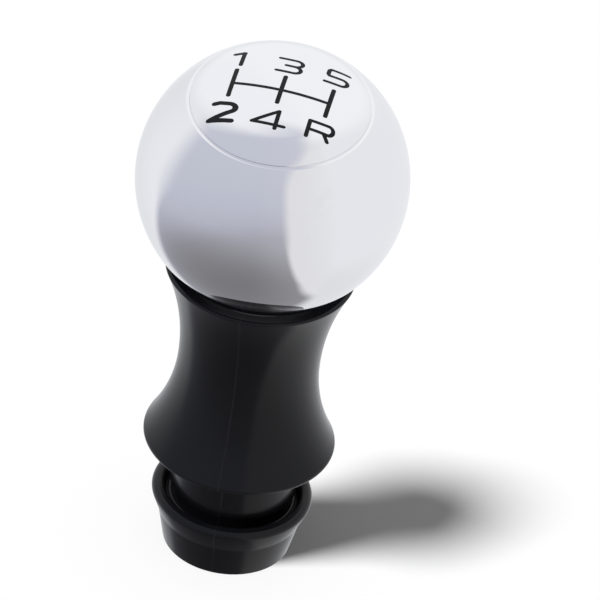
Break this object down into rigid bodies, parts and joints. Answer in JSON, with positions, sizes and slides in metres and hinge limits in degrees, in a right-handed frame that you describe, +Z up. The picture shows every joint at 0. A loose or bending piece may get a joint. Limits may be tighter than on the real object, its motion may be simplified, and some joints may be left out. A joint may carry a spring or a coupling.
{
  "type": "gear shift knob",
  "caption": "Manual gear lever knob: polished metal ball with a let-in shift pattern cap on a waisted rubber sleeve, with a gaiter neck and a threaded core for the lever.",
  "frame": {"origin": "centre of the foot's lower face, on the lever's axis", "axes": "+Z up the lever through the ball, +X to the right of the car, +Y to the front of the car"},
  "size_m": [0.05, 0.05, 0.1056],
  "materials": {
    "polished_metal": "mirror polished",
    "black_paint": "black filling paint in the engraving, slightly glossy",
    "sleeve_rubber": "satin black moulded rubber with a fine grain",
    "core_plastic": "dark glass-filled plastic, moulded",
    "plated_steel": "zinc plated",
    "brass": "turned brass",
    "bush_plastic": "off-white bearing plastic"
  },
  "bodies": {
    "root": {"knob_ball": "polished_metal", "pattern_cap": "polished_metal", "gate_infill": "black_paint", "number_infill": "black_paint", "grip_sleeve": "sleeve_rubber", "stem_core": "core_plastic", "ball_screw": "plated_steel", "threaded_insert": "brass", "guide_bush": "bush_plastic"}
  },
  "joints": []
}
